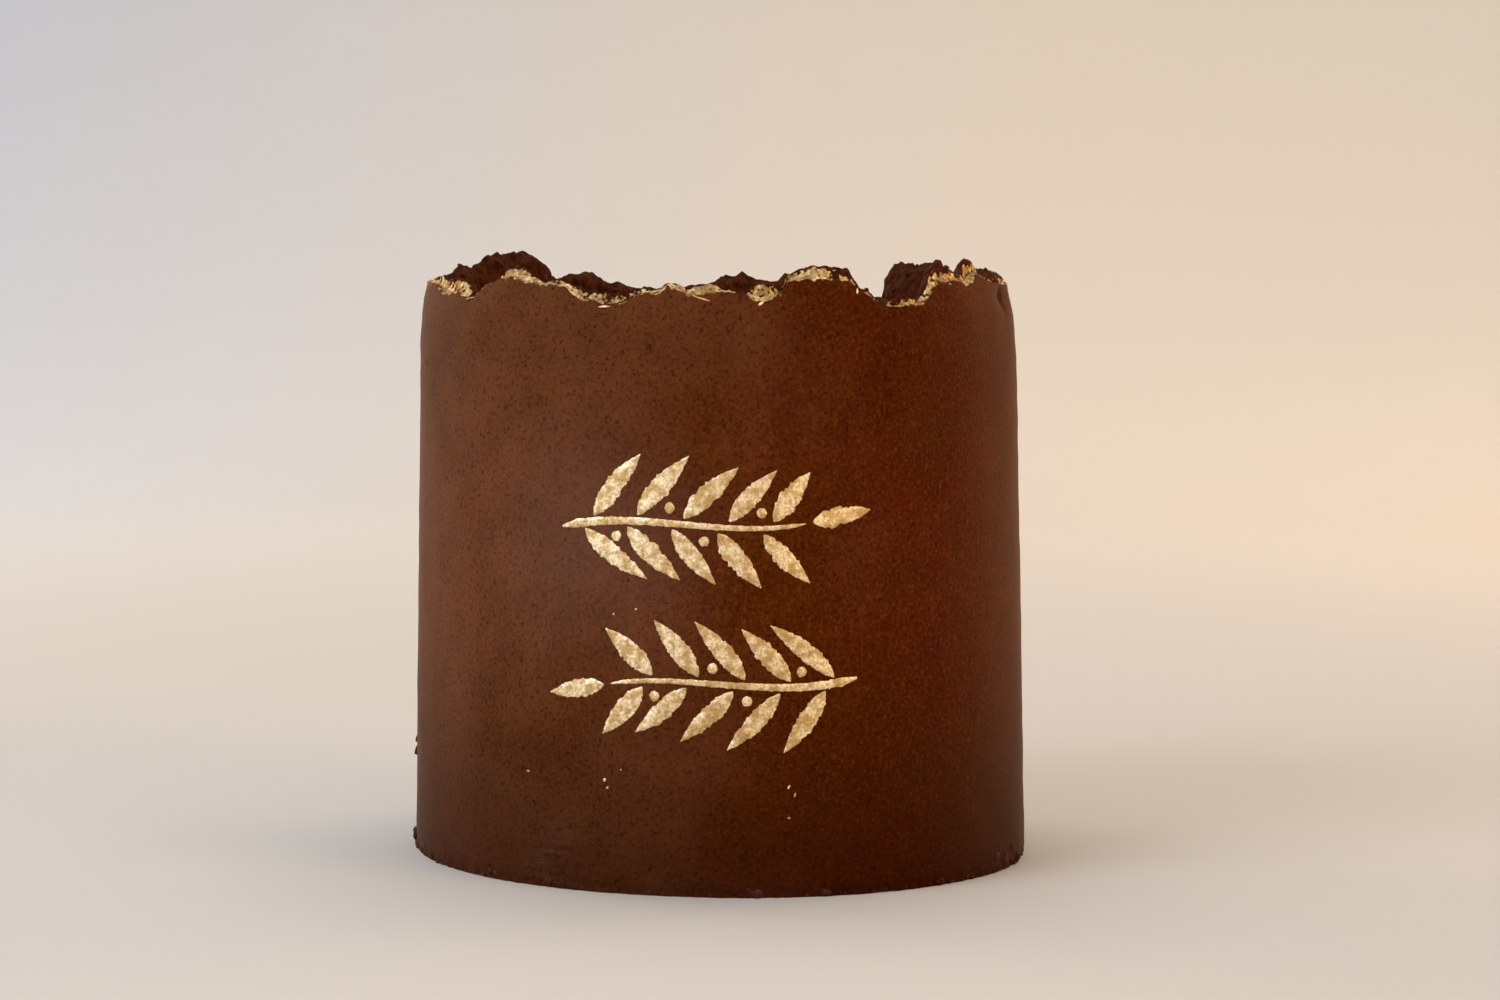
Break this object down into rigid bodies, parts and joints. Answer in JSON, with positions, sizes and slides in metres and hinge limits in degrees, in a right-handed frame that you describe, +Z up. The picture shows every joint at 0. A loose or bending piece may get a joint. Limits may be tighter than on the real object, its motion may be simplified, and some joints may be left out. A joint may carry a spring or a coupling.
{
  "type": "chocolate ganache cake",
  "caption": "Tall round chocolate cake in smooth dark ganache, whose coat runs on past the top into a torn, gilded rim round a shallow recess.",
  "frame": {"origin": "centre of the flat base", "axes": "+Z up along the cake's axis, -Y towards the front, where the gold ornament is, +X to its right"},
  "size_m": [0.17, 0.1699, 0.1644],
  "materials": {
    "ganache": "dark chocolate ganache, scraped smooth, nearly matt",
    "gold_leaf": "pale edible gold leaf, crinkled, on the torn rim and the ornament"
  },
  "bodies": {
    "root": {"cake": "ganache"}
  },
  "joints": []
}
